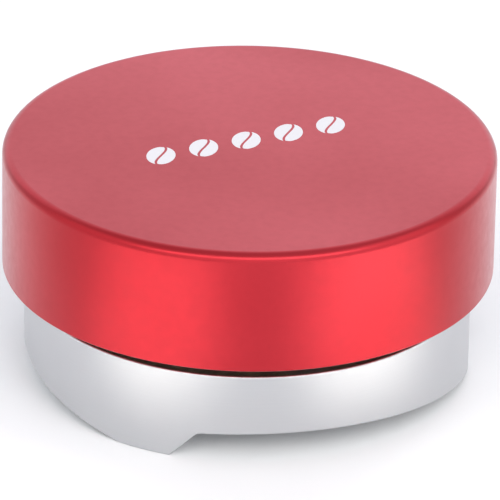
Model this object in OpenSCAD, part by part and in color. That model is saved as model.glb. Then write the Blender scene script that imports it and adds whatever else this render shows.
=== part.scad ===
// Adjustable palm distributor for espresso baskets: a bladed steel base on a screw-thread
// under a broad, turning cap. Millimetres, +Z up. The origin is on the axis, in the plane
// of the flat blade lands that the tool stands on. The front is -Y.

/* [Base] */
// Diameter of the bladed base, a free fit in the basket
base_d = 58; // [48:0.5:61]
// Height of the base, from its lands to its top face
base_h = 12.2; // [11:0.1:16]
// Chamfer around the base's top edge
base_chamfer = 0.3; // [0.1:0.1:0.6]

/* [Blades] */
// Number of blades
blade_count = 3; // [2:1:4]
// Direction of the first blade's tip, seen from above
first_tip_angle = -109.3; // [-180:0.1:180]
// Slope of each blade's long facet
facet_slope = 10.2; // [4:0.1:12]
// Distance from the axis to the line where a facet leaves the flat land
facet_start = 6.6; // [5:0.1:12]
// Angle from a blade's tip to its facet's steepest direction
facet_lead = 28.7; // [20:0.1:34]
// Steepness of the short step behind each blade's tip
step_angle = 45; // [35:1:60]
// Radius where the step meets the facet
step_fillet = 1.3; // [0.5:0.1:2]

/* [Cap] */
// Diameter of the cap
cap_d = 63.7; // [62:0.1:72]
// Height of the cap
cap_h = 16.3; // [16:0.1:22]
// Radius around the cap's top edge
cap_top_radius = 1.15; // [0.4:0.05:2.5]
// Chamfer around the cap's lower edge
cap_bottom_chamfer = 0.2; // [0.1:0.1:0.6]
// Thickness of the cap's top wall
cap_top_wall = 3; // [2:0.1:3.5]
// Gap between the cap and the base at the stored setting
rest_gap = 2.2; // [2.1:0.1:3]

/* [Screw adjustment] */
// Outer diameter of the adjusting thread
thread_d = 36; // [32:0.5:37]
// Pitch of the adjusting thread
thread_pitch = 1.5; // [1:0.25:2]
// Height of the threaded post above the base's top face
post_rise = 12.4; // [12:0.1:12.6]
// Depth of the post's seat in the base
post_seat = 1.5; // [1:0.1:2]
// Wall between the post's thread and its hollow
post_wall = 4; // [3:0.1:4.5]
// Thickness of the post's floor, where its screws sit
post_floor = 4; // [3.5:0.1:5]
// Radial play in the adjusting thread, and of the post in its seat
running_play = 0.05; // [0.02:0.01:0.08]

/* [Thread ring] */
// Diameter of the thread ring's flange
flange_d = 54.8; // [54.8:0.1:56]
// Thickness of the flange
flange_t = 3; // [2.5:0.1:3.2]
// How far the flange is set back inside the cap's underside
flange_recess = 0.5; // [0.4:0.1:0.8]
// Wall of the ring's sleeve around its smooth bore
sleeve_wall = 2.6; // [2:0.1:2.8]
// Radial play between the ring and the cap
ring_play = 0.1; // [0.05:0.05:0.15]

/* [Rubber rings] */
// Section of the friction ring that holds the setting
friction_section = 1.8; // [1.5:0.1:2]
// Lip of the post above the friction ring's groove
post_lip = 0.6; // [0.5:0.1:1]
// Section of the ring that cushions the lowest setting
stop_section = 1.5; // [1.2:0.1:1.6]
// How far that ring stands out of the base's top face
stop_proud = 0.6; // [0.4:0.1:0.7]

/* [Screws] */
// Number of screws that hold the post
post_screw_count = 3; // [3:1:4]
// Thread diameter of the post screws
post_screw_d = 4; // [3:0.5:4]
// Length of the post screws
post_screw_len = 10; // [8:1:11]
// Distance of the post screws from the axis
post_screw_r = 8.5; // [8:0.1:9]
// Number of screws that hold the thread ring
ring_screw_count = 4; // [3:1:6]
// Thread diameter of the ring screws
ring_screw_d = 3; // [2.5:0.5:3]
// Length of the ring screws
ring_screw_len = 8; // [6:1:9]
// Distance of the ring screws from the axis
ring_screw_r = 24.3; // [24.2:0.1:24.5]
// Direction of the first ring screw
ring_screw_angle = 20; // [0:1:90]
// Radial clearance around a screw in its holes
screw_play = 0.1; // [0.05:0.05:0.2]

/* [Hidden] */
$fn = 96;

steel = [0.78, 0.79, 0.80];
dark_steel = [0.45, 0.46, 0.48];
red_anodised = [0.78, 0.12, 0.16];
brass = [0.72, 0.55, 0.32];
black_rubber = [0.09, 0.09, 0.10];

// A cut runs this far past the face that it opens
cut = 1;

// Levels at the stored setting, from the lands up
base_r = base_d / 2;
cap_r = cap_d / 2;
cap_z = base_h + rest_gap;
ceiling_z = cap_z + cap_h - cap_top_wall;
seat_z = base_h - post_seat;
floor_z = seat_z + post_floor;
post_top_z = base_h + post_rise;
flange_z = cap_z + flange_recess;
flange_top_z = flange_z + flange_t;

// Both threads are drawn as cylinders at their pitch radius. A metric thread's pitch circle
// lies 0.325 of the pitch inside its outer one.
pitch_r = thread_d / 2 - 0.325 * thread_pitch;
post_r = pitch_r - running_play;
post_bore_r = pitch_r - post_wall;

// Friction ring: it drags on a smooth bore that clears the thread
thread_clearance = 0.3;
smooth_bore_r = thread_d / 2 + thread_clearance;
friction_r = smooth_bore_r - running_play - friction_section / 2;
groove_r = friction_r - friction_section / 2 - running_play;
groove_side_play = 0.2;
groove_w = friction_section + 2 * groove_side_play;
friction_z = post_top_z - post_lip - groove_w / 2;

// The cap's travel from the stored setting: down to the stop ring, and up. Over all of it
// the friction ring stays on the smooth bore, above the threaded one.
stop_clearance = 0.1;
travel_down = rest_gap + flange_recess - stop_proud - stop_clearance;
travel_up = 3;
bore_spare = 0.4;
thread_top_z = friction_z - groove_w / 2 - travel_up;
sleeve_top_z = friction_z + groove_w / 2 + travel_down + bore_spare;
sleeve_r = smooth_bore_r + sleeve_wall;

// Stop ring, in a rebate around the post's foot
stop_r = pitch_r + running_play + stop_section / 2;
stop_z = base_h + stop_proud - stop_section / 2;
rebate_play = 0.25;
rebate_r = stop_r + stop_section / 2 + rebate_play;

// Cap pocket: a rebate for the flange, then a hollow for the sleeve
pocket_r = sleeve_r + ring_play;
flange_pocket_r = flange_d / 2 + ring_play;

// Countersunk screws, in shares of the thread's diameter, and the tapped holes' extra depth
head_ratio = 1.85;
socket_ratio = 0.36;
socket_depth_ratio = 0.45;
head_rim = 0.3;
tapped_spare = 0.6;

function head_r(d) = d * head_ratio / 2;

// One blade's cut: two planes that meet along a sloping line. In the blade's own frame its
// step rises from the X axis towards +Y.
step_rise = tan(step_angle);
facet_rise = tan(facet_slope);
step_normal = [0, -step_rise, 1];
facet_normal = [-facet_rise * cos(facet_lead), -facet_rise * sin(facet_lead), 1];
meet = cross(facet_normal, step_normal);
meet_yaw = atan2(meet[1], meet[0]);
meet_pitch = atan2(meet[2], norm([meet[0], meet[1]]));
across = [-sin(meet_yaw), cos(meet_yaw), 0];
upward = [-sin(meet_pitch) * cos(meet_yaw), -sin(meet_pitch) * sin(meet_yaw), cos(meet_pitch)];
step_tilt = atan2(-step_normal * across, step_normal * upward);
facet_tilt = atan2(-facet_normal * across, facet_normal * upward);
fillet_steps = 8;

function along(angle, reach) = [reach * cos(angle), reach * sin(angle)];

// Outline of the air under one blade, square to the line where its planes meet
module blade_outline() {
    reach = base_d;
    tangent = step_fillet * tan((step_tilt - facet_tilt) / 2);
    centre = along(step_tilt, -tangent) + along(step_tilt - 90, step_fillet);
    arc_step = (step_tilt - facet_tilt) / fillet_steps;
    polygon(concat(
        [[-reach, -reach], along(step_tilt, -reach)],
        [for (i = [0 : fillet_steps]) centre + along(step_tilt + 90 - i * arc_step, step_fillet)],
        [along(facet_tilt, reach), [reach, -reach]]
    ));
}

module blade_cut() {
    translate([facet_start / cos(facet_lead), 0, 0])
        rotate([0, 0, meet_yaw])
            rotate([0, -meet_pitch, 0])
                rotate([90, 0, 90])
                    translate([0, 0, -base_d])
                        linear_extrude(height = 2 * base_d)
                            blade_outline();
}

// Places copies around the axis
module ring_of(count, radius, first = 0) {
    for (i = [0 : count - 1])
        rotate([0, 0, first + i * 360 / count])
            translate([radius, 0, 0])
                children();
}

// A countersunk screw, its head's face at z = 0 and its shank downwards
module countersunk_screw(d, length) {
    cone_h = head_r(d) - d / 2;
    difference() {
        union() {
            translate([0, 0, -head_rim])
                cylinder(h = head_rim, r = head_r(d));
            translate([0, 0, -head_rim - cone_h])
                cylinder(h = cone_h, r1 = d / 2, r2 = head_r(d));
            translate([0, 0, -length])
                cylinder(h = length - head_rim, r = d / 2);
        }
        translate([0, 0, -socket_depth_ratio * d])
            cylinder(h = socket_depth_ratio * d + cut, r = socket_ratio * d, $fn = 6);
    }
}

// The hole that the screw's head and shank need in the piece it holds
module countersunk_hole(d, length) {
    cone_h = head_r(d) - d / 2;
    translate([0, 0, -head_rim])
        cylinder(h = head_rim + cut, r = head_r(d));
    translate([0, 0, -head_rim - cone_h])
        cylinder(h = cone_h, r1 = d / 2, r2 = head_r(d));
    translate([0, 0, -length])
        cylinder(h = length, r = d / 2 + screw_play);
}

module rubber_ring(radius, section) {
    rotate_extrude()
        translate([radius, 0])
            circle(d = section, $fn = 32);
}

module blade_base() {
    color(steel)
        difference() {
            rotate_extrude()
                polygon([
                    [0, 0],
                    [base_r, 0],
                    [base_r, base_h - base_chamfer],
                    [base_r - base_chamfer, base_h],
                    [0, base_h],
                ]);
            for (i = [0 : blade_count - 1])
                rotate([0, 0, first_tip_angle + i * 360 / blade_count])
                    blade_cut();
            // Seat for the post, and the rebate around its foot
            translate([0, 0, seat_z])
                cylinder(h = post_seat + cut, r = pitch_r);
            translate([0, 0, stop_z - stop_section / 2])
                cylinder(h = stop_section + cut, r = rebate_r);
            // Tapped holes
            ring_of(post_screw_count, post_screw_r)
                translate([0, 0, floor_z - post_screw_len - tapped_spare])
                    cylinder(h = post_screw_len, r = post_screw_d / 2 + screw_play);
        }
}

module thread_post() {
    color(steel)
        difference() {
            translate([0, 0, seat_z])
                cylinder(h = post_top_z - seat_z, r = post_r);
            // Hollow
            translate([0, 0, floor_z])
                cylinder(h = post_top_z - floor_z + cut, r = post_bore_r);
            // Groove for the friction ring
            translate([0, 0, friction_z - groove_w / 2])
                difference() {
                    cylinder(h = groove_w, r = post_r + cut);
                    cylinder(h = groove_w, r = groove_r);
                }
            ring_of(post_screw_count, post_screw_r)
                translate([0, 0, floor_z])
                    countersunk_hole(post_screw_d, post_floor + cut);
        }
}

module post_screws() {
    color(dark_steel)
        ring_of(post_screw_count, post_screw_r)
            translate([0, 0, floor_z])
                countersunk_screw(post_screw_d, post_screw_len);
}

module stop_ring() {
    color(black_rubber)
        translate([0, 0, stop_z])
            rubber_ring(stop_r, stop_section);
}

module friction_ring() {
    color(black_rubber)
        translate([0, 0, friction_z])
            rubber_ring(friction_r, friction_section);
}

module thread_ring() {
    color(brass)
        difference() {
            union() {
                translate([0, 0, flange_z])
                    cylinder(h = flange_t, d = flange_d);
                translate([0, 0, flange_z])
                    cylinder(h = sleeve_top_z - flange_z, r = sleeve_r);
            }
            // Threaded bore below, smooth bore above it
            translate([0, 0, flange_z - cut])
                cylinder(h = sleeve_top_z - flange_z + 2 * cut, r = pitch_r);
            translate([0, 0, thread_top_z])
                cylinder(h = sleeve_top_z - thread_top_z + cut, r = smooth_bore_r);
            ring_of(ring_screw_count, ring_screw_r, ring_screw_angle)
                translate([0, 0, flange_z])
                    mirror([0, 0, 1])
                        countersunk_hole(ring_screw_d, flange_t + cut);
        }
}

module ring_screws() {
    color(dark_steel)
        ring_of(ring_screw_count, ring_screw_r, ring_screw_angle)
            translate([0, 0, flange_z])
                mirror([0, 0, 1])
                    countersunk_screw(ring_screw_d, ring_screw_len);
}

// Section of the cap's outside, with its round top edge
module cap_section() {
    square([cap_r - cap_top_radius, cap_h]);
    difference() {
        square([cap_r, cap_h - cap_top_radius]);
        translate([cap_r, 0])
            rotate([0, 0, 45])
                square(cap_bottom_chamfer * sqrt(2), center = true);
    }
    translate([cap_r - cap_top_radius, cap_h - cap_top_radius])
        circle(r = cap_top_radius);
}

module cap_shell() {
    color(red_anodised)
        difference() {
            translate([0, 0, cap_z])
                rotate_extrude()
                    cap_section();
            // Rebate for the flange, and the hollow above it
            translate([0, 0, cap_z - cut])
                cylinder(h = flange_top_z - cap_z + cut, r = flange_pocket_r);
            translate([0, 0, cap_z])
                cylinder(h = ceiling_z - cap_z, r = pocket_r);
            // Tapped holes
            ring_of(ring_screw_count, ring_screw_r, ring_screw_angle)
                translate([0, 0, flange_z])
                    cylinder(h = ring_screw_len + tapped_spare, r = ring_screw_d / 2 + screw_play);
        }
}

blade_base();
thread_post();
post_screws();
stop_ring();
friction_ring();
thread_ring();
ring_screws();
cap_shell();
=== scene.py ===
# %% [markdown]
# # An adjustable espresso distributor
#
# This tool levels the coffee in an espresso basket. A steel base with three sloping blades
# turns in the grounds. A broad red cap rides on the basket's rim, and turns on a screw
# thread to set how deep the blades reach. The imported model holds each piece's place and
# size. This lesson dresses it: every piece is made again with its fillets, threads and
# chamfers, and gets a finish made only of nodes.

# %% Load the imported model
import math

import bmesh
import bpy
from mathutils import Matrix, Vector


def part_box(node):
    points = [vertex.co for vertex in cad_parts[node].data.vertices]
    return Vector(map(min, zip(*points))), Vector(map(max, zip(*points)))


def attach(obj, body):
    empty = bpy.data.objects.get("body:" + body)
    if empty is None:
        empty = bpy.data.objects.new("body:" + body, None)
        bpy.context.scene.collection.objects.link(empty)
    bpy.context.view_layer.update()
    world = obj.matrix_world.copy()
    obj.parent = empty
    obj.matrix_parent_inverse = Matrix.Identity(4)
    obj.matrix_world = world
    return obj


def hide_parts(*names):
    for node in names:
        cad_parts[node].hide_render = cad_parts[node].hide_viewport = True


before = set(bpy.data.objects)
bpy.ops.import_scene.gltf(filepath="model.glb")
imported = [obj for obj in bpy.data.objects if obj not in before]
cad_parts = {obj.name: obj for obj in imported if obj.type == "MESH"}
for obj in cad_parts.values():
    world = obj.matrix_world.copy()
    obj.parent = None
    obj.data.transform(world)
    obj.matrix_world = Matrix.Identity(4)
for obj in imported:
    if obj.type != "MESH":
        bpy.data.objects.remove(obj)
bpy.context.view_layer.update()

# %% [markdown]
# ## Sizes
#
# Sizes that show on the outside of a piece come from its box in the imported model. What a
# box can't tell, such as the depth of a rebate or a thread's pitch, is named here in
# millimetres. One helper reads a box in the same unit, so the two kinds never mix.

# %% Read the boxes, in millimetres
MM = 0.001


def levels(node):
    """Outer radius, lowest and highest level of a node."""
    low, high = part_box(node)
    return high.x / MM, low.z / MM, high.z / MM


base_r, base_bottom, base_top = levels("blade_base")
cap_r, cap_bottom, cap_top = levels("cap_shell")
post_r, post_bottom, post_top = levels("thread_post")
flange_r, flange_bottom, sleeve_top = levels("thread_ring")
stop_outer_r, stop_bottom, stop_top = levels("stop_ring")
drag_outer_r, drag_bottom, drag_top = levels("friction_ring")
post_screw_tip, post_screw_face = levels("post_screws")[1:]
ring_screw_face, ring_screw_tip = levels("ring_screws")[1:]
print(f"base {2 * base_r:.1f} wide, cap {2 * cap_r:.1f} wide, {cap_top:.1f} high in all")

# %% [markdown]
# ## Bake a node tree into a plain mesh
#
# A Geometry Nodes modifier is a recipe, and an exporter wants the dish. So each piece is
# evaluated once, its result is copied into a plain mesh, and the modifier is removed. A
# signed volume tells whether a closed mesh is inside out, and edges sharper than a limit
# are marked, so that flats stay flat and fillets shade smoothly.

# %% Helpers that finish a mesh
SHARP = math.radians(28)
SAME_POINT = 1e-7


def labelled(values):
    """Turns keywords into the names on sockets: base_color becomes Base Color."""
    return {key.replace("_", " ").title().replace("Ior", "IOR"): value
            for key, value in values.items()}


def set_inputs(modifier, **values):
    """Sets a modifier's inputs by name; the modifier itself stores them by identifier."""
    values = labelled(values)
    for item in modifier.node_group.interface.items_tree:
        if item.item_type == "SOCKET" and item.in_out == "INPUT" and item.name in values:
            modifier[item.identifier] = values[item.name]


def finish_mesh(piece):
    """Merges doubles, points the faces outwards and marks the sharp edges."""
    shape = bmesh.new()
    shape.from_mesh(piece.data)
    bmesh.ops.remove_doubles(shape, verts=shape.verts, dist=SAME_POINT)
    bmesh.ops.dissolve_degenerate(shape, edges=shape.edges, dist=SAME_POINT)
    if shape.calc_volume(signed=True) < 0:
        bmesh.ops.reverse_faces(shape, faces=shape.faces)
    open_edges = sum(not edge.is_manifold for edge in shape.edges)
    shape.to_mesh(piece.data)
    shape.free()
    piece.data.shade_smooth()
    piece.data.set_sharp_from_angle(angle=SHARP)
    return open_edges


def apply_modifiers(piece):
    """Puts what the piece's modifiers make into a plain mesh, and removes them."""
    graph = bpy.context.evaluated_depsgraph_get()
    made = bpy.data.meshes.new_from_object(piece.evaluated_get(graph), depsgraph=graph)
    piece.modifiers.clear()
    piece.data = made
    made.name = piece.name


def bake(piece):
    """Applies the modifiers and finishes the mesh. Returns its count of open edges."""
    apply_modifiers(piece)
    return finish_mesh(piece)


def weigh_normals(piece):
    """Lets the largest faces set the shading of the corners that they share."""
    weigh = piece.modifiers.new("weigh normals", "WEIGHTED_NORMAL")
    weigh.keep_sharp = True
    apply_modifiers(piece)


def new_piece(name, vertices, edges=(), faces=()):
    """A mesh object at the origin, from points in metres."""
    mesh = bpy.data.meshes.new(name)
    mesh.from_pydata(vertices, edges, faces)
    piece = bpy.data.objects.new(name, mesh)
    bpy.context.scene.collection.objects.link(piece)
    return piece


# %% [markdown]
# ## Build node trees from code
#
# A few small helpers keep the trees readable. One makes a tree with named inputs, and
# another adds a node, sets its properties and connects its inputs in one call. An input is
# given by its number or its name, and its value is either a plain value or another node's
# output. Most nodes are wanted for their first output, so a third helper hands back just
# that. Every mesh tree ends alike: copies are made real, and then get their material.

# %% Helpers that build node trees
FLOAT, WHOLE = "NodeSocketFloat", "NodeSocketInt"
SHAPE, FINISH = "NodeSocketGeometry", "NodeSocketMaterial"


def new_tree(name, kind, inputs, outputs):
    """A node group with named sockets. Returns it, what it is given and its results."""
    tree = bpy.data.node_groups.new(name, kind)
    for label, socket, default in inputs:
        made = tree.interface.new_socket(label, in_out="INPUT", socket_type=socket)
        if default is not None:
            made.default_value = default
    for label, socket in outputs:
        tree.interface.new_socket(label, in_out="OUTPUT", socket_type=socket)
    given, result = tree.nodes.new("NodeGroupInput"), tree.nodes.new("NodeGroupOutput")
    return tree, given.outputs, result.inputs


def is_output(value):
    """Whether a value is another node's output, to be connected and not copied."""
    return isinstance(value, bpy.types.NodeSocket)


def fill(tree, node, values):
    """Sets or connects inputs. values maps a number or name to a value or an output."""
    for key, value in values.items():
        if is_output(value):
            tree.links.new(value, node.inputs[key])
        else:
            node.inputs[key].default_value = value


def new_node(tree, kind, values=None, **settings):
    """Adds a node, with its settings and then the values of its inputs."""
    node = tree.nodes.new(kind)
    for key, value in settings.items():
        setattr(node, key, value)
    fill(tree, node, values or {})
    return node


def add(tree, kind, values=None, **settings):
    """Adds a node, and returns its first output."""
    return new_node(tree, kind, values, **settings).outputs[0]


def split(tree, vector):
    """A vector's X, Y and Z."""
    return new_node(tree, "ShaderNodeSeparateXYZ", {0: vector}).outputs


def maths(tree, operation, a, b=0.0, c=0.0, clamp=False):
    """A Math node's output."""
    values = {0: a, 1: b, 2: c}
    return add(tree, "ShaderNodeMath", values, operation=operation, use_clamp=clamp)


def times(tree, a, b):
    """The product of two values."""
    return maths(tree, "MULTIPLY", a, b)


def hypotenuse(tree, a, b):
    """The root of a squared plus b squared."""
    square = maths(tree, "MULTIPLY_ADD", a, a, times(tree, b, b))
    return maths(tree, "SQRT", square)


def end_tree(tree, given, result, shape):
    """Makes the copies real and sets their material, which an exporter needs."""
    plain = add(tree, "GeometryNodeRealizeInstances", {0: shape})
    dressed = add(tree, "GeometryNodeSetMaterial", {0: plain, 2: given["Finish"]})
    tree.links.new(dressed, result[0])


# %% [markdown]
# ## Turned pieces
#
# Nearly everything in this tool comes off a lathe. On a lathe the outline of half a
# section turns round the axis, and a thread is the same outline climbing as it turns. A
# Screw modifier could spin the outline, but it can't climb in one stretch and stay level
# in the next. So one node tree does both: it lays out a grid with a row for each point of
# the outline and a column for each step of the turn, and puts every point where the lathe
# would. Rows marked as thread climb by one pitch a turn, and stop at the thread's ends.
# Small pieces have 40 facets, and a broad one is given as many as its size needs.

# %% The lathe as a node tree
FACETS = 40
MERGE = 1e-6


def lathe_tree():
    tree, given, result = new_tree("lathe", "GeometryNodeTree", [
        ("Outline", SHAPE, None), ("Facets", WHOLE, FACETS), ("Pitch", FLOAT, 0.0),
        ("Thread Bottom", FLOAT, 0.0), ("Thread Top", FLOAT, 0.0),
        ("Relief Radius", FLOAT, 0.0), ("Finish", FINISH, None),
    ], [("Body", SHAPE)])
    outline = given["Outline"]
    points = add(tree, "GeometryNodeAttributeDomainSize", {0: outline})
    columns = maths(tree, "ADD", given["Facets"], 1)
    grid = add(tree, "GeometryNodeMeshGrid", {0: 1.0, 1: 1.0, 2: columns, 3: points})
    place = add(tree, "GeometryNodeInputPosition")
    across = split(tree, place)
    turn = maths(tree, "ADD", across[0], 0.5)
    last = maths(tree, "SUBTRACT", points, 1)
    share = maths(tree, "ADD", across[1], 0.5)
    row = maths(tree, "ROUND", times(tree, share, last))
    # The outline's own point for this row, and whether it is thread
    corner = split(tree, add(tree, "GeometryNodeSampleIndex", {
        0: outline, 1: place, 2: row}, data_type="FLOAT_VECTOR"))
    mark = add(tree, "GeometryNodeInputNamedAttribute", {0: "thread"}, data_type="FLOAT")
    thread = add(tree, "GeometryNodeSampleIndex", {
        0: outline, 1: mark, 2: row}, data_type="FLOAT")
    # Height: a thread row climbs with the turn, and is held between the thread's ends
    climb = times(tree, times(tree, turn, given["Pitch"]), thread)
    free = maths(tree, "ADD", corner[2], climb)
    held = maths(tree, "MAXIMUM", free, given["Thread Bottom"])
    held = maths(tree, "MINIMUM", held, given["Thread Top"])
    height = add(tree, "ShaderNodeMix", {0: thread, 2: free, 3: held})
    # Radius: where a thread row is held, it runs out into the relief
    shift = maths(tree, "ABSOLUTE", maths(tree, "SUBTRACT", held, free))
    run_out = times(tree, maths(tree, "GREATER_THAN", shift, 0.0), thread)
    radius = add(tree, "ShaderNodeMix", {
        0: run_out, 2: corner[0], 3: given["Relief Radius"]})
    angle = times(tree, turn, math.tau)
    spot = add(tree, "ShaderNodeCombineXYZ", {
        0: times(tree, radius, maths(tree, "COSINE", angle)),
        1: times(tree, radius, maths(tree, "SINE", angle)),
        2: height})
    turned_grid = add(tree, "GeometryNodeSetPosition", {0: grid, 2: spot})
    merged = add(tree, "GeometryNodeMergeByDistance", {0: turned_grid, 2: MERGE})
    end_tree(tree, given, result, merged)
    return tree


LATHE = lathe_tree()
print("lathe tree:", len(LATHE.nodes), "nodes")

# %% [markdown]
# ## Outlines
#
# A machinist never leaves a raw corner, and it is the small radius on each edge that
# catches the light. So an outline is written as a list of corners with a radius for each,
# and a helper turns every corner into an arc. It also adds a point just before and after
# the arc. Without that the soft shading of the fillet would spread over the whole flat.
# The radii are few, because each is left by a tool or by a stroke of a file.

# %% Helpers that draw outlines, in millimetres
SUPPORT = 0.05
ARC_STEPS = 6
DEBURR = 0.1
EDGE_BREAK = 0.15
TOOL_NOSE = 0.2
FILED_EDGE = 0.25
LEAD_IN = 0.3
BORE_CORNER = 0.4
CUP_CORNER = 0.6
CREST_HALF = 1 / 16
ROOT_HALF = 1 / 8


def rounded(corners, steps=ARC_STEPS):
    """Points of an outline of (radius, height, fillet) corners, each corner an arc."""
    points = []
    for i, (r, z, fillet) in enumerate(corners):
        corner = Vector((r, z))
        if fillet == 0:
            points.append(corner)
            continue
        before = (Vector(corners[i - 1][:2]) - corner).normalized()
        after = (Vector(corners[i + 1][:2]) - corner).normalized()
        half = before.angle(after) / 2
        reach = fillet / math.tan(half)
        centre = corner + (before + after).normalized() * (fillet / math.sin(half))
        start = corner + before * reach - centre
        sweep = start.angle_signed(corner + after * reach - centre)
        points.append(corner + before * (reach + SUPPORT))
        for k in range(steps + 1):
            turn = Matrix.Rotation(-sweep * k / steps, 2)
            points.append(centre + turn @ start)
        points.append(corner + after * (reach + SUPPORT))
    return [(point.x, point.y, 0) for point in points]


def thread_rows(crest_r, root_r, pitch, bottom, top):
    """Rows of a metric thread: crest and root flats joined by 60 degree flanks."""
    flats = ((-CREST_HALF, crest_r), (CREST_HALF, crest_r),
             (0.5 - ROOT_HALF, root_r), (0.5 + ROOT_HALF, root_r))
    turns = range(math.floor(bottom / pitch) - 1, math.ceil(top / pitch) + 1)
    return [(r, (turn + share) * pitch, 1) for turn in turns for share, r in flats]


def turned(name, outline, finish, facets=FACETS, pitch=0.0, bottom=0.0, top=0.0, relief=0.0):
    """A piece turned from (radius, height, is thread) points in millimetres."""
    piece = new_piece(
        name,
        [(r * MM, 0, z * MM) for r, z, mark in outline],
        edges=[(i, i + 1) for i in range(len(outline) - 1)])
    marks = piece.data.attributes.new("thread", "FLOAT", "POINT")
    marks.data.foreach_set("value", [float(mark) for r, z, mark in outline])
    lathe = piece.modifiers.new("lathe", "NODES")
    lathe.node_group = LATHE
    set_inputs(lathe, facets=facets, pitch=pitch * MM, thread_bottom=bottom * MM,
               thread_top=top * MM, relief_radius=relief * MM, finish=finish)
    open_edges = bake(piece)
    print(f"{name}: {len(piece.data.polygons)} faces, {open_edges} open edges")
    return piece


# %% [markdown]
# ## Copies round the axis
#
# Screws and their holes repeat round a circle. Instances say that best: one node spreads
# points, one sets a copy on each, and turning each copy by its own share of the circle
# lets the piece be drawn once, at its place on the +X axis.

# %% A ring of copies as a node tree
def ring_tree():
    tree, given, result = new_tree("ring of copies", "GeometryNodeTree", [
        ("Piece", SHAPE, None), ("Count", WHOLE, 3), ("First Angle", FLOAT, 0.0),
        ("Finish", FINISH, None),
    ], [("Pieces", SHAPE)])
    spots = add(tree, "GeometryNodePoints", {0: given["Count"]})
    number = add(tree, "GeometryNodeInputIndex")
    share = maths(tree, "DIVIDE", number, given["Count"])
    angle = maths(tree, "MULTIPLY_ADD", share, math.tau, given["First Angle"])
    aim = add(tree, "ShaderNodeCombineXYZ", {2: angle})
    copies = add(tree, "GeometryNodeInstanceOnPoints", {
        0: spots, 2: given["Piece"], 5: aim})
    end_tree(tree, given, result, copies)
    return tree


RING = ring_tree()
print("ring tree:", len(RING.nodes), "nodes")


def ring_of(piece, count, radius, first_angle, finish):
    """Moves the piece out to a radius, and repeats it round the axis."""
    piece.data.transform(Matrix.Translation((radius * MM, 0, 0)))
    copies = piece.modifiers.new("ring of copies", "NODES")
    copies.node_group = RING
    set_inputs(copies, count=count, first_angle=math.radians(first_angle), finish=finish)
    bake(piece)
    return piece


def cut(piece, cutter, overlapping=False):
    """Takes the cutter away from the piece, then removes the cutter."""
    hole = piece.modifiers.new("cut", "BOOLEAN")
    hole.operation = "DIFFERENCE"
    hole.solver = "EXACT"
    hole.use_self = overlapping
    hole.object = cutter
    open_edges = bake(piece)
    bpy.data.objects.remove(cutter)
    print(f"{piece.name}: cut, {len(piece.data.polygons)} faces, {open_edges} open edges")


# %% [markdown]
# ## Shader groups that the finishes share
#
# Four effects come up again and again on metal. A lathe leaves fine rings, a bead blast
# leaves grain, handling leaves broad soft patches, and edges rub bright. Each is a group
# with named inputs, built once. They read object coordinates in metres, and put out only
# heights and masks, so each material decides what they do.

# %% Helpers that read a place and make noise
def object_place(tree):
    """The object's own coordinates, in metres."""
    return new_node(tree, "ShaderNodeTexCoord").outputs["Object"]


def turned_place(tree):
    """Distance from the axis, height, and the object's own coordinates."""
    place = object_place(tree)
    x, y, z = split(tree, place)
    return hypotenuse(tree, y, x), z, place


def mixed(tree, a, b, share):
    """A weighted mean of two values: a by the share, b by the rest."""
    return maths(tree, "MULTIPLY_ADD", a, share, times(tree, b, 1 - share))


def noise(tree, place, scale, detail):
    """Soft noise in three dimensions, from 0 to 1."""
    return add(tree, "ShaderNodeTexNoise", {
        "Vector": place, "Scale": scale, "Detail": detail})


def contrast(tree, value, gain, lift):
    """Stretches a noise by a gain, moves it, and clips it to 0 to 1."""
    return maths(tree, "MULTIPLY_ADD", value, gain, lift, clamp=True)


# %% Turning marks, grain, patches and edge wear
COARSE_SHARE = 0.22


def turning_group():
    """Rings left by a tool: they follow the radius on a face and the height on a wall."""
    tree, given, result = new_tree(
        "turning marks", "ShaderNodeTree",
        [("Spacing", FLOAT, 0.0002), ("Wander", FLOAT, 0.1)],
        [("Height", FLOAT), ("Mask", FLOAT)])
    radius, height, place = turned_place(tree)
    drift = noise(tree, place, scale=60.0, detail=1.0)
    travel = maths(tree, "DIVIDE", maths(tree, "ADD", radius, height), given["Spacing"])
    travel = maths(tree, "MULTIPLY_ADD", drift, given["Wander"], travel)
    rings = add(tree, "ShaderNodeTexNoise", {
        "W": travel, "Scale": 1.0, "Detail": 3.0, "Roughness": 0.7,
    }, noise_dimensions="1D")
    sharp = contrast(tree, rings, gain=2.4, lift=-0.7)
    tree.links.new(rings, result["Height"])
    tree.links.new(sharp, result["Mask"])
    return tree


def grain_group():
    """Fine grain from blasting, with a coarser layer under it."""
    tree, given, result = new_tree(
        "blast grain", "ShaderNodeTree",
        [("Grain Size", FLOAT, 0.0001)], [("Height", FLOAT), ("Speck", FLOAT)])
    place = object_place(tree)
    scale = maths(tree, "DIVIDE", 1.0, given["Grain Size"])
    fine = noise(tree, place, scale, detail=2.0)
    coarse = noise(tree, place, times(tree, scale, COARSE_SHARE), detail=3.0)
    speck = contrast(tree, coarse, gain=6.0, lift=-3.9)
    tree.links.new(mixed(tree, coarse, fine, share=0.5), result["Height"])
    tree.links.new(speck, result["Speck"])
    return tree


def patches_group():
    """Broad soft patches, as handling leaves them."""
    tree, given, result = new_tree(
        "handling patches", "ShaderNodeTree",
        [("Patch Size", FLOAT, 0.02), ("Seed", FLOAT, 0.0)], [("Value", FLOAT)])
    scale = maths(tree, "DIVIDE", 1.0, given["Patch Size"])
    cloud = add(tree, "ShaderNodeTexNoise", {
        "Vector": object_place(tree), "W": given["Seed"],
        "Scale": scale, "Detail": 2.5, "Roughness": 0.45,
    }, noise_dimensions="4D")
    tree.links.new(contrast(tree, cloud, gain=2.8, lift=-0.9), result["Value"])
    return tree


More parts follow.
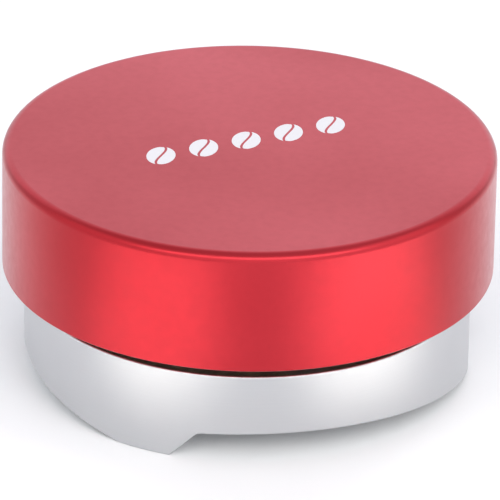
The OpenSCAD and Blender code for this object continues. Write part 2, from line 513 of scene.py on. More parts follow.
def wear_group():
    """Bright rubbing along one round edge, given by its radius and height."""
    tree, given, result = new_tree(
        "edge wear", "ShaderNodeTree",
        [("Edge Radius", FLOAT, 0.03), ("Edge Height", FLOAT, 0.03), ("Width", FLOAT, 0.0004)],
        [("Mask", FLOAT)])
    radius, height, place = turned_place(tree)
    off_r = maths(tree, "SUBTRACT", radius, given["Edge Radius"])
    off_z = maths(tree, "SUBTRACT", height, given["Edge Height"])
    away = maths(tree, "DIVIDE", hypotenuse(tree, off_r, off_z), given["Width"])
    near = maths(tree, "SUBTRACT", 1.0, away, clamp=True)
    chips = contrast(tree, noise(tree, place, scale=900.0, detail=4.0), gain=5.0, lift=-2.2)
    tree.links.new(times(tree, near, chips), result["Mask"])
    return tree


GROUPS = {
    "turning": turning_group(),
    "grain": grain_group(),
    "patches": patches_group(),
    "wear": wear_group(),
}
print("shader groups:", ", ".join(GROUPS))


# %% Helpers that build a material
FINE_BUMP = 0.00002


def feed(tree, node, **values):
    """Sets or connects a node's inputs, each named by a keyword."""
    fill(tree, node, labelled(values))


def new_material(name, **constants):
    """A material with one Principled shader, its plain values set on the shader itself."""
    material = bpy.data.materials.new(name)
    material.use_nodes = True
    shader = material.node_tree.nodes["Principled BSDF"]
    feed(material.node_tree, shader, **constants)
    return material, material.node_tree, shader


def effect(tree, group, **values):
    """Places one of the shared groups, with its own values."""
    return new_node(tree, "ShaderNodeGroup", labelled(values), node_tree=GROUPS[group])


def blend_colours(tree, factor, a, b):
    """Mixes two colours by a factor. Each is an output, or red, green and blue."""
    a, b = (colour if is_output(colour) else (*colour, 1) for colour in (a, b))
    values = {"Factor": factor, 6: a, 7: b}
    return new_node(tree, "ShaderNodeMix", values, data_type="RGBA").outputs[2]


def tint(tree, colour, mask, other, share):
    """Lets up to a share of another colour through where the mask is bright."""
    return blend_colours(tree, times(tree, mask, share), colour, other)


def span_of(tree, value, low, high):
    """Spreads a 0 to 1 value over low to high."""
    return maths(tree, "MULTIPLY_ADD", value, high - low, low)


def bump(tree, shader, height, strength, distance=FINE_BUMP):
    """Feeds a height to the shader's normal."""
    feed(tree, shader, normal=add(tree, "ShaderNodeBump", {
        "Strength": strength, "Distance": distance, "Height": height}))


# %% [markdown]
# ## Red anodised aluminium
#
# The cap is blasted, then anodised: the metal grows a thin clear skin that takes a dye. The
# light that passes through the skin comes back red from the metal under it, and the light
# that the skin itself reflects stays white. That is why the top, seen at a low angle,
# looks pink. So the metal is red with a coat, and the coat has the same satin as the metal.
# A painted look, with no metal under the coat, would lose the deep red of the wall.

# %% The cap's finish
CAP_RED = (0.52, 0.010, 0.023)
CAP_DEEP = (0.42, 0.005, 0.013)
CAP_DARK = (0.33, 0.001, 0.008)
CAP_WORN = (0.85, 0.30, 0.30)
CAP_COAT = (0.36, 0.58)
CAP_ROUGHNESS = (0.29, 0.36)


def anodised_finish():
    material, tree, shader = new_material(
        "red_anodised_aluminium", metallic=1.0, coat_roughness=0.28, coat_ior=1.55)
    grain = effect(tree, "grain", grain_size=0.00011)
    patches = effect(tree, "patches", patch_size=0.034, seed=3.0)
    mottle = effect(tree, "patches", patch_size=0.0011, seed=8.0)
    wear = effect(tree, "wear", width=0.00022,
                  edge_radius=cap_r * MM, edge_height=cap_bottom * MM)
    red = blend_colours(tree, patches.outputs[0], CAP_DEEP, CAP_RED)
    red = tint(tree, red, mottle.outputs[0], CAP_DARK, share=0.12)
    red = tint(tree, red, grain.outputs["Speck"], CAP_DARK, share=0.25)
    red = tint(tree, red, wear.outputs[0], CAP_WORN, share=0.35)
    feed(tree, shader, base_color=red,
         coat_weight=span_of(tree, patches.outputs[0], *CAP_COAT),
         roughness=span_of(tree, mottle.outputs[0], *CAP_ROUGHNESS))
    bump(tree, shader, grain.outputs["Height"], strength=0.32)
    return material


ANODISED = anodised_finish()

# %% [markdown]
# ## Steel, brass and rubber
#
# The base is stainless steel, turned and then polished to a soft satin, so its marks are
# only just there. The post and the screws stay as machined, with plainer rings. The brass
# ring is warmer and a little tarnished. The rubber rings are matt, with a dusty bloom.
# One function makes all four metals, because they differ only in colour and in how strong
# each effect is.

# %% The metals
WORN_STEEL = (0.92, 0.92, 0.93)


def machined_finish(name, light, dark, roughness, spacing, depth, seed, wear_at=None):
    """A turned metal: rings in height and in gloss, over soft patches of colour."""
    material, tree, shader = new_material(name, metallic=1.0)
    rings = effect(tree, "turning", spacing=spacing)
    patches = effect(tree, "patches", patch_size=0.015, seed=seed)
    tone = mixed(tree, rings.outputs["Mask"], patches.outputs[0], share=0.3)
    colour = blend_colours(tree, tone, dark, light)
    if wear_at:
        wear = effect(tree, "wear", width=0.0004,
                      edge_radius=wear_at[0] * MM, edge_height=wear_at[1] * MM)
        colour = tint(tree, colour, wear.outputs[0], WORN_STEEL, share=0.5)
    gloss = mixed(tree, rings.outputs["Mask"], patches.outputs[0], share=0.5)
    feed(tree, shader, base_color=colour, roughness=span_of(tree, gloss, *roughness))
    bump(tree, shader, rings.outputs["Height"], strength=depth)
    return material


BASE_STEEL = machined_finish(
    "satin_stainless_steel", light=(0.60, 0.605, 0.615), dark=(0.545, 0.552, 0.567),
    roughness=(0.32, 0.38), spacing=0.00016, depth=0.12, seed=1.0, wear_at=(base_r, base_top))
POST_STEEL = machined_finish(
    "machined_stainless_steel", light=(0.70, 0.70, 0.71), dark=(0.58, 0.585, 0.60),
    roughness=(0.22, 0.36), spacing=0.00022, depth=0.35, seed=5.0)
SCREW_STEEL = machined_finish(
    "screw_steel", light=(0.60, 0.60, 0.61), dark=(0.44, 0.445, 0.46),
    roughness=(0.26, 0.42), spacing=0.00030, depth=0.30, seed=9.0)
RING_BRASS = machined_finish(
    "machined_brass", light=(0.83, 0.62, 0.30), dark=(0.66, 0.45, 0.19),
    roughness=(0.22, 0.38), spacing=0.00025, depth=0.40, seed=13.0)

# %% The rubber and the white print
RUBBER_BLACK = (0.014, 0.014, 0.015)
RUBBER_BLOOM = (0.040, 0.040, 0.042)
RUBBER_ROUGHNESS = (0.58, 0.78)
INK_WHITE = (0.71, 0.68, 0.70)
INK_SPECK = (0.62, 0.57, 0.58)
INK_ROUGHNESS = (0.42, 0.62)


def rubber_finish():
    material, tree, shader = new_material("nitrile_rubber", specular_ior_level=0.35)
    grain = effect(tree, "grain", grain_size=0.00012)
    patches = effect(tree, "patches", patch_size=0.006, seed=21.0)
    black = blend_colours(tree, patches.outputs[0], RUBBER_BLACK, RUBBER_BLOOM)
    rough = span_of(tree, patches.outputs[0], *RUBBER_ROUGHNESS)
    feed(tree, shader, base_color=black, roughness=rough)
    bump(tree, shader, grain.outputs["Height"], strength=0.35, distance=2 * FINE_BUMP)
    return material


def ink_finish():
    material, tree, shader = new_material("white_print", specular_ior_level=0.4)
    grain = effect(tree, "grain", grain_size=0.00016)
    white = tint(tree, INK_WHITE, grain.outputs["Speck"], INK_SPECK, share=0.6)
    rough = span_of(tree, grain.outputs["Height"], *INK_ROUGHNESS)
    feed(tree, shader, base_color=white, roughness=rough)
    bump(tree, shader, grain.outputs["Height"], strength=0.25)
    return material


RUBBER = rubber_finish()
INK = ink_finish()
print("finishes:", ", ".join(sorted(m.name for m in bpy.data.materials)))

# %% [markdown]
# ## The camera
#
# The camera stands about 0.8 m away with a long lens and looks down at 26 degrees. The
# long lens keeps the round cap from bulging. The camera aims at the middle of the cap's
# underside and leans by a degree, and a small shift of the lens frames the object.

# %% Set the camera
CAMERA_DISTANCE = 0.8134
CAMERA_TILT = 26.42
CAMERA_LEAN = 1.03
LENS = 451.5
SENSOR = 36
LENS_SHIFT = (0.0041, 0.0177)

camera = bpy.data.objects.new("camera", bpy.data.cameras.new("camera"))
bpy.context.scene.collection.objects.link(camera)
bpy.context.scene.camera = camera
camera.data.lens = LENS
camera.data.sensor_width = SENSOR
camera.data.shift_x, camera.data.shift_y = LENS_SHIFT
tilt = math.radians(CAMERA_TILT)
aim = Vector((0, 0, cap_bottom * MM))
spot = aim + CAMERA_DISTANCE * Vector((0, -math.cos(tilt), math.sin(tilt)))
look = Matrix.Rotation(math.pi / 2 - tilt, 4, "X")
lean = Matrix.Rotation(math.radians(CAMERA_LEAN), 4, "Z")
camera.matrix_world = Matrix.Translation(spot) @ look @ lean
print("camera at", [round(value, 3) for value in spot])

# %% [markdown]
# ## The cap
#
# The cap is one aluminium turning: a thick disc, hollowed from below. A rebate takes the
# thread ring's flange, and a deeper hollow takes its sleeve. Its outline runs from the
# axis under the ceiling, round the outside and back to the axis on top. The top edge has
# the generous radius that the hand feels, and every other edge only a small break.

# %% Turn the cap
CAP_TOP_RADIUS = 1.15
CAP_TOP_WALL = 3.0
CAP_FACETS = 256
CAP_ARC_STEPS = 8
RING_PLAY = 0.1
FLANGE_THICK = 3.0
SMOOTH_BORE_R = 18.3
SLEEVE_WALL = 2.6

sleeve_r = SMOOTH_BORE_R + SLEEVE_WALL
pocket_r = sleeve_r + RING_PLAY
flange_top = flange_bottom + FLANGE_THICK
ceiling = cap_top - CAP_TOP_WALL
cap = turned("cap_turned", rounded([
    (0, ceiling, 0),
    (pocket_r, ceiling, BORE_CORNER),
    (pocket_r, flange_top, DEBURR),
    (flange_r + RING_PLAY, flange_top, DEBURR),
    (flange_r + RING_PLAY, cap_bottom, EDGE_BREAK),
    (cap_r, cap_bottom, EDGE_BREAK),
    (cap_r, cap_top, CAP_TOP_RADIUS),
    (0, cap_top, 0),
], steps=CAP_ARC_STEPS), ANODISED, facets=CAP_FACETS)

# %% [markdown]
# ## The holes for the ring's screws
#
# A tapped hole is drilled first, so it ends in the cone that the drill leaves. The cutter
# is itself a turned piece, repeated round the axis and taken away in one step. It starts a
# little outside the metal, because a cutter that ends flush can leave a skin of faces.

# %% Drill the cap
RING_SCREWS = 4
RING_SCREW_R = 24.3
RING_SCREW_ANGLE = 20
RING_SCREW_D = 3.0
SCREW_PLAY = 0.1
TAPPED_SPARE = 0.6
DRILL_TIP = 0.6
OVERSHOOT = 1


def drill(radius, mouth, end):
    """A cutter from the mouth's level to the end, with a drill's pointed tip."""
    way = math.copysign(1, end - mouth)
    start = mouth - way * OVERSHOOT
    tip = end + way * DRILL_TIP * radius
    outline = [(0, start, 0), (radius, start, 0), (radius, end, 0), (0, tip, 0)]
    return turned("drill", outline, None)


cut(cap, ring_of(
    drill(RING_SCREW_D / 2 + SCREW_PLAY, flange_top, ring_screw_tip + TAPPED_SPARE),
    RING_SCREWS, RING_SCREW_R, RING_SCREW_ANGLE, ANODISED))

# %% [markdown]
# ## The adjusting thread
#
# Two threads have to run in each other, so both are drawn from the same rows: crests and
# roots at the same heights, the ring's a tenth of a millimetre further out. Turning the
# cap once lifts it one pitch, which brings every crest back to a root. That is what keeps
# the pair in mesh at every setting, and no pose needs its own mesh.

# %% Sizes of the adjusting thread
PITCH = 1.5
THREAD_R = 18.0
THREAD_DEPTH = 0.92
THREAD_PLAY = 0.1
GROOVE_SIDE_PLAY = 0.2
RUNNING_PLAY = 0.05
POST_WALL = 4.0
RELIEF_RUN = 0.2
GROOVE_GAP = 0.05
THREAD_FACETS = 160

pitch_r = post_r + RUNNING_PLAY
root_r = THREAD_R - THREAD_DEPTH
drag_section = drag_top - drag_bottom
groove_bottom = drag_bottom - GROOVE_SIDE_PLAY
groove_top = drag_top + GROOVE_SIDE_PLAY
groove_r = drag_outer_r - drag_section - RUNNING_PLAY
male_bottom, male_top = stop_top + RELIEF_RUN, groove_bottom - GROOVE_GAP
print(f"post thread from {male_bottom:.2f} to {male_top:.2f} mm")

# %% [markdown]
# ## The threaded post
#
# The post is a steel cup that stands in a seat in the base. From the foot up, its wall has
# a plain spigot, a relief, the thread, and the groove for the friction ring under a short
# lip. The thread starts where the relief ends, and runs out just short of the groove. The
# hollow keeps the weight down, and lets the screws in from above.

# %% Turn the post
post_bore_r = pitch_r - POST_WALL
post_floor = post_screw_face
foot = rounded([
    (0, post_bottom, 0),
    (post_r, post_bottom, TOOL_NOSE),
    (post_r, base_top, DEBURR),
    (root_r, base_top + RELIEF_RUN, 0),
    (root_r, male_bottom, 0),
])
head = rounded([
    (root_r, male_top, 0),
    (root_r, groove_bottom, DEBURR),
    (groove_r, groove_bottom, EDGE_BREAK),
    (groove_r, groove_top, EDGE_BREAK),
    (post_r, groove_top, DEBURR),
    (post_r, post_top, FILED_EDGE),
    (post_bore_r, post_top, LEAD_IN),
    (post_bore_r, post_floor, CUP_CORNER),
    (0, post_floor, 0),
])
thread = thread_rows(THREAD_R, root_r, PITCH, male_bottom, male_top)
post = turned("post_threaded", foot + thread + head, POST_STEEL, facets=THREAD_FACETS,
              pitch=PITCH, bottom=male_bottom, top=male_top, relief=root_r)

# %% [markdown]
# ## Countersunk screws
#
# Both sets are countersunk socket screws, and differ only in size. The head's cone sits in
# a matching cone, so the same sizes give the screw and, with a little play, its hole. The
# socket's cutter is turned with six facets, which makes a hexagonal bar with a pointed end.

# %% Helpers that make screws and their holes
HEAD_SHARE = 1.85
HEAD_RIM = 0.3
HEAD_EDGES = (0.08, 0.05)
HEAD_ARC_STEPS = 3
SOCKET_SHARE = 0.36
SOCKET_DEPTH_SHARE = 0.45
SOCKET_CONE = 0.25
SOCKET_SIDES = 6
THREAD_SHARE = 0.6134
PLAIN_NECK = 0.8
PLAIN_POINT = 0.5
POINT_TAPER = 0.1


def screw_holes(d, face, length, way):
    """A cutter for a countersunk hole. way is -1 for a screw that points down."""
    head_r, shank_r = d * HEAD_SHARE / 2, d / 2 + SCREW_PLAY
    cone = HEAD_RIM + head_r - d / 2
    return turned("countersink", [
        (0, face - way * OVERSHOOT, 0),
        (head_r, face - way * OVERSHOOT, 0),
        (head_r, face + way * HEAD_RIM, 0),
        (shank_r, face + way * (cone - SCREW_PLAY), 0),
        (shank_r, face + way * length, 0),
        (0, face + way * length, 0),
    ], None)


def screw(name, d, pitch, face, tip, finish):
    """A countersunk socket screw on the axis, from its face to its tip."""
    way = math.copysign(1, tip - face)
    head_r, shank_r = d * HEAD_SHARE / 2, d / 2
    root = shank_r - THREAD_SHARE * pitch
    cone = face + way * (HEAD_RIM + head_r - shank_r)
    start, end = cone + way * PLAIN_NECK, tip - way * PLAIN_POINT
    bottom, top = min(start, end), max(start, end)
    upper = rounded([
        (0, face, 0),
        (head_r, face, HEAD_EDGES[0]),
        (head_r, face + way * HEAD_RIM, HEAD_EDGES[1]),
        (shank_r, cone, DEBURR),
        (shank_r, start, 0),
        (root, start, 0),
    ], steps=HEAD_ARC_STEPS)
    rows = thread_rows(shank_r, root, pitch, bottom, top)
    lower = rounded([(root, end, 0), (root - POINT_TAPER, tip, 0), (0, tip, 0)])
    if way < 0:
        rows = rows[::-1]
    piece = turned(name, upper + rows + lower, finish,
                   pitch=pitch, bottom=bottom, top=top, relief=root)
    outside = face - way * OVERSHOOT
    depth = face + way * SOCKET_DEPTH_SHARE * d
    socket_r = SOCKET_SHARE * d
    cut(piece, turned("socket", [
        (0, outside, 0), (socket_r, outside, 0), (socket_r, depth, 0),
        (0, depth + way * SOCKET_CONE * socket_r, 0)], finish, facets=SOCKET_SIDES))
    return piece


# %% Make the post's screws and drill for them
POST_SCREWS = 3
POST_SCREW_R = 8.5
POST_SCREW_D = 4.0
POST_SCREW_PITCH = 0.7

cut(post, ring_of(
    screw_holes(POST_SCREW_D, post_screw_face, post_floor - post_bottom + OVERSHOOT, -1),
    POST_SCREWS, POST_SCREW_R, 0, POST_STEEL))
post_screws = ring_of(
    screw("post_screw_set", POST_SCREW_D, POST_SCREW_PITCH,
          post_screw_face, post_screw_tip, SCREW_STEEL),
    POST_SCREWS, POST_SCREW_R, 0, SCREW_STEEL)

# %% [markdown]
# ## The thread ring
#
# The ring carries the other half of the thread. It is brass, because brass runs on steel
# without seizing. Its flange is let into the cap from below, and its bore has two parts:
# the thread, and above it a smooth wall, wide enough to pass the thread, on which the
# friction ring drags. Its section is a closed loop that never meets the axis.

# %% Turn the thread ring
CAP_RISE = 3.0
BORE_SPARE = 0.4
BORE_STEP = 0.1
MOUTH_DEPTH = 0.25
MOUTH_FLARE = 0.2
RING_SCREW_PITCH = 0.5

female_bottom = flange_bottom + MOUTH_DEPTH
female_top = drag_bottom - CAP_RISE - BORE_SPARE
female_crest = root_r + THREAD_PLAY
female_root = THREAD_R + THREAD_PLAY
inner = thread_rows(female_root, female_crest, PITCH, female_bottom, female_top)
outside = rounded([
    (female_root, female_top, 0),
    (SMOOTH_BORE_R, female_top + BORE_STEP, 0),
    (SMOOTH_BORE_R, sleeve_top, BORE_CORNER),
    (sleeve_r, sleeve_top, LEAD_IN),
    (sleeve_r, flange_top, TOOL_NOSE),
    (flange_r, flange_top, TOOL_NOSE),
    (flange_r, flange_bottom, FILED_EDGE),
    (female_root + MOUTH_FLARE, flange_bottom, DEBURR),
    (female_root, female_bottom, 0),
])
ring = turned("ring_threaded", inner + outside + inner[:1], RING_BRASS, facets=THREAD_FACETS,
              pitch=PITCH, bottom=female_bottom, top=female_top, relief=female_root)
cut(ring, ring_of(
    screw_holes(RING_SCREW_D, ring_screw_face, FLANGE_THICK + OVERSHOOT, 1),
    RING_SCREWS, RING_SCREW_R, RING_SCREW_ANGLE, RING_BRASS))
ring_screws = ring_of(
    screw("ring_screw_set", RING_SCREW_D, RING_SCREW_PITCH,
          ring_screw_face, ring_screw_tip, SCREW_STEEL),
    RING_SCREWS, RING_SCREW_R, RING_SCREW_ANGLE, SCREW_STEEL)

# %% [markdown]
# ## The rubber rings
#
# A moulded ring has a round section and, where the two halves of the mould met, a fine
# raised line inside and outside. The line is only a few hundredths of a millimetre, but
# it is real geometry here: two points of the outline stand a little further out.

# %% Turn the rubber rings
SECTION_STEPS = 36
FLASH = 0.03
RUBBER_FACETS = 144


def rubber_ring(name, outer_r, low, high):
    """A ring of round section, with a mould line inside and outside."""
    half = (high - low) / 2
    centre_r, centre_z = outer_r - half, (high + low) / 2
    outline = []
    for k in range(SECTION_STEPS + 1):
        angle = math.tau * k / SECTION_STEPS
        reach = half + (FLASH if k % (SECTION_STEPS // 2) == 0 else 0)
        out, up = reach * math.cos(angle), reach * math.sin(angle)
        outline.append((centre_r + out, centre_z + up, 0))
    return turned(name, outline, RUBBER, facets=RUBBER_FACETS)


stop_ring = rubber_ring("stop_ring_moulded", stop_outer_r, stop_bottom, stop_top)
drag_ring = rubber_ring("friction_ring_moulded", drag_outer_r, drag_bottom, drag_top)

# %% [markdown]
# ## The base's blank
#
# The base starts as a turned disc. Its top has a shallow seat for the post, and around the
# seat a rebate where the rubber stop ring lies. Three tapped holes take the screws that
# hold the post down. The rim at the top has a small radius that catches a thin line of
# light under the cap.

# %% Turn and drill the base's blank
REBATE_PLAY = 0.25
BASE_TOP_RADIUS = 0.3
BASE_FACETS = 246

rebate_r = stop_outer_r + REBATE_PLAY
base = turned("base_bladed", rounded([
    (0, post_bottom, 0),
    (pitch_r, post_bottom, TOOL_NOSE),
    (pitch_r, stop_bottom, DEBURR),
    (rebate_r, stop_bottom, TOOL_NOSE),
    (rebate_r, base_top, EDGE_BREAK),
    (base_r, base_top, BASE_TOP_RADIUS),
    (base_r, base_bottom, 0),
    (0, base_bottom, 0),
]), BASE_STEEL, facets=BASE_FACETS)
cut(base, ring_of(
    drill(POST_SCREW_D / 2 + SCREW_PLAY, post_bottom, post_screw_tip - TAPPED_SPARE),
    POST_SCREWS, POST_SCREW_R, 0, BASE_STEEL))

# %% [markdown]
# ## The blades
#
# A milling cutter makes each blade with two flat passes. One leaves the long facet, which
# rises gently from the middle to the rim. The other leaves the steep step behind the
# blade's tip. The passes meet along a sloping line, with the cutter's own radius between
# them. So the air under one blade is a long bar whose section has two straight sides and
# an arc. The bar lies along that line, and the ring tree repeats it for each blade.

# %% Work out the bar of air under one blade
BLADES = 3
FIRST_TIP = -109.3
FACET_SLOPE = math.radians(10.2)
FACET_LEAD = math.radians(28.7)
FACET_START = 6.6
STEP_SLOPE = math.radians(45)
STEP_FILLET = 1.3
FILLET_STEPS = 14
BAR_REACH = 2 * base_r

rise = math.tan(FACET_SLOPE)
facet = Vector((-rise * math.cos(FACET_LEAD), -rise * math.sin(FACET_LEAD), 1))
step = Vector((0, -math.tan(STEP_SLOPE), 1))
meet = facet.cross(step).normalized()
across = Vector((-meet.y, meet.x, 0)).normalized()
upward = meet.cross(across)


def slope_along(normal):
    """How steeply a plane runs, seen square to the line where the two planes meet."""
    return math.atan2(-normal.dot(across), normal.dot(upward))


def reach_out(angle, length):
    """A point in the bar's section, at an angle and a distance from where the planes meet."""
    return Vector((math.cos(angle), math.sin(angle))) * length


step_tilt, facet_tilt = slope_along(step), slope_along(facet)
spread = step_tilt - facet_tilt
tangent = STEP_FILLET * math.tan(spread / 2)
centre = reach_out(step_tilt, -tangent) + reach_out(step_tilt - math.pi / 2, STEP_FILLET)
section = [Vector((-BAR_REACH, -BAR_REACH)), reach_out(step_tilt, -BAR_REACH)]
section += [
    centre + reach_out(step_tilt + math.pi / 2 - spread * k / FILLET_STEPS, STEP_FILLET)
    for k in range(FILLET_STEPS + 1)
]
section += [reach_out(facet_tilt, BAR_REACH), Vector((BAR_REACH, -BAR_REACH))]
print(f"planes meet {math.degrees(math.asin(meet.z)):.1f} degrees up")
print(f"the bar's section has {len(section)} corners")

# %% Cut the blades
count = len(section)
corners = [
    (meet * end * BAR_REACH + across * point.x + upward * point.y) * MM
    for end in (-1, 1) for point in section]
ends = [list(range(count)), list(range(count, 2 * count))[::-1]]
sides = [[k, k + count, (k + 1) % count + count, (k + 1) % count] for k in range(count)]
bars = ring_of(new_piece("blade_bar", corners, faces=ends + sides),
               BLADES, FACET_START / math.cos(FACET_LEAD), FIRST_TIP, BASE_STEEL)
cut(base, bars, overlapping=True)

# %% [markdown]
# ## Break the rim's lower edge
#
# The blades' outer edge is broken by a stroke of a stone, a thin line all round under the
# wall. Only the rim's own edges get a bevel weight. A bevel on every edge would fail at
# the centre, where the steps run out to nothing. Then the large flats are given the say
# over the soft shading, so that they stay flat right up to the small faces beside them.

# %% Bevel the rim and weight the shading
RIM_BREAK = 0.18
RIM_SHARP = math.radians(35)
RIM_SEGMENTS = 3
WALL_BAND = 0.05
RIM_CLEAR = 1


def rim_edges(shape):
    """The edges where the outer wall ends at the blades."""
    for edge in shape.edges:
        on_wall = all(vertex.co.xy.length > (base_r - WALL_BAND) * MM for vertex in edge.verts)
        below = all(vertex.co.z < (base_top - RIM_CLEAR) * MM for vertex in edge.verts)
        if on_wall and below and edge.is_manifold and edge.calc_face_angle() > RIM_SHARP:
            yield edge


shape = bmesh.new()
shape.from_mesh(base.data)
weights = shape.edges.layers.float.new("bevel_weight_edge")
rim = list(rim_edges(shape))
for edge in rim:
    edge[weights] = 1.0
shape.to_mesh(base.data)
shape.free()
bevel = base.modifiers.new("rim break", "BEVEL")
bevel.limit_method = "WEIGHT"
bevel.width = RIM_BREAK * MM
bevel.segments = RIM_SEGMENTS
bevel.use_clamp_overlap = False
open_edges = bake(base)
print(f"base: {len(rim)} rim edges, {len(base.data.polygons)} faces, {open_edges} open edges")
weigh_normals(base)

# %% [markdown]
# ## The mark on the cap
#
# The cap carries a small white print, which here is a plain row of coffee beans. A print
# could be a mask in the cap's material, but as a thin piece of its own it keeps crisp
# edges at any size. One bean is drawn as two halves that face each other across a curved
# crease. A node tree sets the row out along a line.

# %% Draw one bean
BEAN_LENGTH = 5.2
BEAN_WIDTH = 3.7
CREASE = 0.34
CREASE_WAVE = 0.38
BEAN_STEPS = 24
PRINT_THICK = 0.02
PRINT_SUNK = 0.005


def bean():
    """Two halves of an oval, parted by an S-shaped crease."""
    rim, crease = [], []
    for k in range(BEAN_STEPS + 1):
        t = math.pi * k / BEAN_STEPS
        along = math.cos(t) * BEAN_LENGTH / 2
        rim.append(Vector((math.sin(t) * BEAN_WIDTH / 2, along, 0)))
        crease.append(Vector((CREASE_WAVE * math.sin(2 * t) + CREASE / 2, along, 0)))
    start = next(k for k, (a, b) in enumerate(zip(rim, crease)) if a.x > b.x)
    loop = rim[start:BEAN_STEPS + 1 - start]
    loop += crease[start:BEAN_STEPS + 1 - start][::-1]
    count = len(loop)
    vertices = [point * MM for point in loop] + [-point * MM for point in loop]
    faces = [list(range(count))[::-1], list(range(count, 2 * count))[::-1]]
    return new_piece("cap_print", vertices, faces=faces)


# %% A row of copies as a node tree
def row_tree():
    tree, given, result = new_tree("row of copies", "GeometryNodeTree", [
        ("Piece", SHAPE, None), ("Count", WHOLE, 5), ("Spacing", FLOAT, 0.006),
        ("Lean", FLOAT, 0.0), ("Thickness", FLOAT, 0.00002), ("Finish", FINISH, None),
    ], [("Row", SHAPE)])
    flat = given["Piece"]
    thick = add(tree, "GeometryNodeExtrudeMesh", {0: flat, 3: given["Thickness"], 4: False})
    back = add(tree, "GeometryNodeFlipFaces", {0: flat})
    solid = new_node(tree, "GeometryNodeJoinGeometry")
    tree.links.new(thick, solid.inputs[0])
    tree.links.new(back, solid.inputs[0])
    closed = add(tree, "GeometryNodeMergeByDistance", {0: solid.outputs[0], 2: MERGE})
    count = given["Count"]
    number = add(tree, "GeometryNodeInputIndex")
    middle = times(tree, maths(tree, "SUBTRACT", count, 1), 0.5)
    step = maths(tree, "SUBTRACT", number, middle)
    along = times(tree, step, given["Spacing"])
    spot = add(tree, "ShaderNodeCombineXYZ", {0: along})
    spots = add(tree, "GeometryNodePoints", {0: count, 1: spot})
    aim = add(tree, "ShaderNodeCombineXYZ", {2: given["Lean"]})
    copies = add(tree, "GeometryNodeInstanceOnPoints", {
        0: spots, 2: closed, 5: aim})
    end_tree(tree, given, result, copies)
    return tree


# %% Print the row of beans
BEANS = 5
BEAN_SPACING = 6.0
BEAN_LEAN = -32
PRINT_ANGLE = 25
PRINT_PLACE = (-0.5, 1.5)

mark = bean()
row = mark.modifiers.new("row of copies", "NODES")
row.node_group = row_tree()
set_inputs(row, count=BEANS, spacing=BEAN_SPACING * MM, lean=math.radians(BEAN_LEAN),
           thickness=PRINT_THICK * MM, finish=INK)
bake(mark)
mark.data.transform(
    Matrix.Translation((PRINT_PLACE[0] * MM, PRINT_PLACE[1] * MM, (cap_top - PRINT_SUNK) * MM))
    @ Matrix.Rotation(math.radians(PRINT_ANGLE), 4, "Z"))
print("print:", len(mark.data.polygons), "faces")

# %% [markdown]
# ## What each piece rides on
#
# The base, its post, the post's screws and the stop ring stand still. The cap, the thread
# ring and its screws turn and rise. The friction ring sits in the post's groove and turns
# with the cap. Each made piece hides the plain one that it stands for.

# %% Hand the pieces over
PIECES = [
    (base, "base", "blade_base", "base_steel"),
    (post, "base", "thread_post", "post_steel"),
    (post_screws, "base", "post_screws", "screw_steel"),
    (stop_ring, "base", "stop_ring", "ring_rubber"),
    (drag_ring, "drag_ring", "friction_ring", "ring_rubber"),
    (ring, "cap", "thread_ring", "ring_brass"),
    (ring_screws, "cap", "ring_screws", "screw_steel"),
    (cap, "cap", "cap_shell", "cap_anodised"),
]
for piece, body, node, slot in PIECES:
    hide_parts(node)
    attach(piece, body)
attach(mark, "cap")

# %% [markdown]
# ## Floor and light
#
# The floor is plain and pale. Metal shows what stands around it, so the light is planned by
# direction. The top face looks back at a wide panel behind. The rounded edge looks at a
# long bright strip in front, which draws the thin line of light, and at a broad, dimmer
# panel under it. The walls look down at the floor in front, where two pools of light draw
# the two bright bands, and the plainer floor between them makes the darker one. The lamps
# over the pools, and a wash that brightens the whole floor, are hidden from reflections.

# %% Lay the floor
FLOOR_HALF = 3.0
FLOOR_SINK = 0.00002
FLOOR_COOL = (0.89, 0.893, 0.897)
FLOOR_PLAIN = (0.91, 0.91, 0.91)

square = ((-1, -1), (1, -1), (1, 1), (-1, 1))
floor = new_piece(
    "floor", [(x * FLOOR_HALF, y * FLOOR_HALF, -FLOOR_SINK) for x, y in square],
    faces=[(0, 1, 2, 3)])
floor_finish, floor_tree, floor_shader = new_material(
    "pale_floor", roughness=0.7, specular_ior_level=0.1)
cloud = effect(floor_tree, "patches", patch_size=0.12, seed=30.0)
pale = blend_colours(floor_tree, cloud.outputs[0], FLOOR_COOL, FLOOR_PLAIN)
feed(floor_tree, floor_shader, base_color=pale)
floor.data.materials.append(floor_finish)

# %% Set the light that comes from all round
STUDIO_TINT = (0.90, 0.94, 1.0, 1)
STUDIO_GLOW = 0.80

world = bpy.data.worlds.new("studio")
bpy.context.scene.world = world
world.use_nodes = True
backdrop = world.node_tree.nodes["Background"]
feed(world.node_tree, backdrop, color=STUDIO_TINT, strength=STUDIO_GLOW)

# %% Helpers that place a lamp
FLOOR_WHITE = 0.85
LAMP_RADIUS = 0.01
POOL_LAMP_HEIGHT = 0.6
POOL_SOFTNESS = 0.8
NEUTRAL = (1.0, 0.985, 0.96)
WARM = (1.0, 0.95, 0.87)
COOL = (0.82, 0.85, 1.0)


def toward(azimuth, elevation):
    """A direction from the tool. Azimuth 0 is the front, 90 the right."""
    a, e = math.radians(azimuth), math.radians(elevation)
    return Vector((math.sin(a) * math.cos(e), -math.cos(a) * math.cos(e), math.sin(e)))


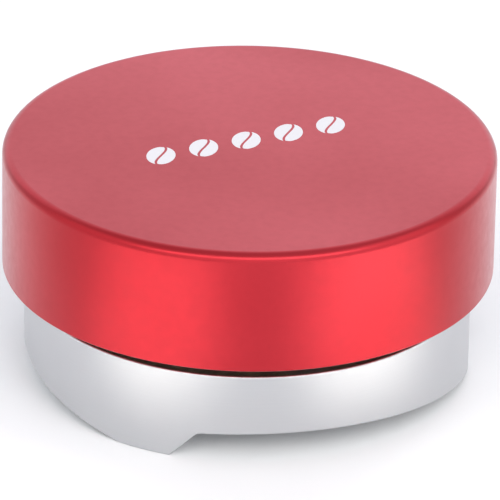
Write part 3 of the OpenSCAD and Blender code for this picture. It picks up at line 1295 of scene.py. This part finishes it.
def place_lamp(name, light, hue, spot, aim=Vector()):
    """Hangs a lamp at a spot, turned to its aim, and hides it from the camera."""
    light.color = hue
    lamp = bpy.data.objects.new(name, light)
    bpy.context.scene.collection.objects.link(lamp)
    turn = (spot - aim).to_track_quat("Z", "Y").to_matrix().to_4x4()
    lamp.matrix_world = Matrix.Translation(spot) @ turn
    lamp.visible_camera = False
    return lamp


def panel(name, azimuth, elevation, distance, width, height, glow, hue=NEUTRAL):
    """A soft panel that faces the tool. glow is its radiance, in units of the white floor."""
    light = bpy.data.lights.new(name, "AREA")
    light.shape = "RECTANGLE"
    light.size, light.size_y = width, height
    light.energy = glow * math.pi * width * height
    return place_lamp(name, light, hue, toward(azimuth, elevation) * distance)


def pool(name, azimuth, reach, radius, glow):
    """A pool of light on the floor, lit from straight above."""
    light = bpy.data.lights.new(name, "SPOT")
    light.spot_size = 2 * math.atan(radius / POOL_LAMP_HEIGHT)
    light.spot_blend = POOL_SOFTNESS
    light.shadow_soft_size = LAMP_RADIUS
    light.energy = glow * math.pi / FLOOR_WHITE * POOL_LAMP_HEIGHT ** 2 * 4 * math.pi
    middle = toward(azimuth, 0) * reach
    lamp = place_lamp(name, light, WARM, middle + Vector((0, 0, POOL_LAMP_HEIGHT)), middle)
    lamp.visible_glossy = False


# %% Set the lamps
# Azimuth and elevation in degrees, then distance, width and height in metres, and glow
panel("back_panel", 180, 32, 1.4, 2.8, 1.3, 0.54, COOL)
panel("front_panel", 0, 20, 1.25, 2.4, 0.85, 0.55)
panel("front_strip", 0, 39, 1.2, 2.2, 0.42, 2.1)
panel("left_panel", -72, 27, 1.25, 1.2, 1.1, 0.40)
panel("right_panel", 72, 27, 1.25, 1.2, 1.1, 0.62)
wash = panel("floor_wash", 20, 50, 1.2, 1.2, 1.0, 0.85)
wash.visible_glossy = False
# Azimuth in degrees, then how far out and how wide the pool is in metres, and glow
pool("left_pool", -34, 0.082, 0.043, 1.25)
pool("right_pool", 48, 0.082, 0.047, 1.3)
bpy.context.scene.view_settings.view_transform = "Standard"
